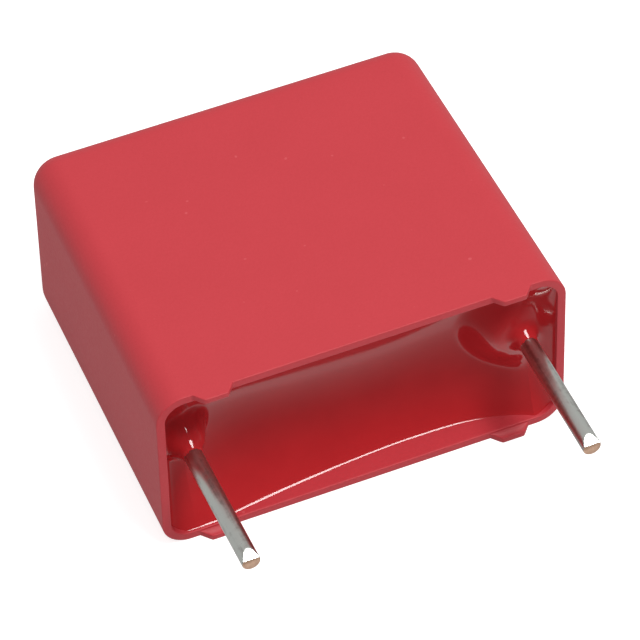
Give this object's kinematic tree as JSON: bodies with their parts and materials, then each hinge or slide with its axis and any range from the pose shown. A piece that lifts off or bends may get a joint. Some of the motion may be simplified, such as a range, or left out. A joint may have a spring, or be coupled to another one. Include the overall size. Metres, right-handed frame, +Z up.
{
  "type": "box film capacitor",
  "caption": "Box film capacitor: a moulded can with a flattened film winding, sealed with cast resin, and two parallel wire leads.",
  "frame": {"origin": "on the surface the part lies on, under the middle of its box", "axes": "+Z up through the thickness, X along the lead pitch, the leads point to -Y"},
  "size_m": [0.0182, 0.0214, 0.0087],
  "materials": {
    "can_plastic": "spark-eroded moulded red",
    "seal_resin": "glossy cast resin, deep red",
    "metallised_film": "wound metallised film",
    "sprayed_metal": "sprayed, rough",
    "tinned_wire": "tinned copper wire, drawn"
  },
  "bodies": {
    "root": {"case": "can_plastic", "potting_resin": "seal_resin", "film_winding": "metallised_film", "contact_layer_left": "sprayed_metal", "contact_layer_right": "sprayed_metal", "lead_left": "tinned_wire", "lead_right": "tinned_wire"}
  },
  "joints": []
}
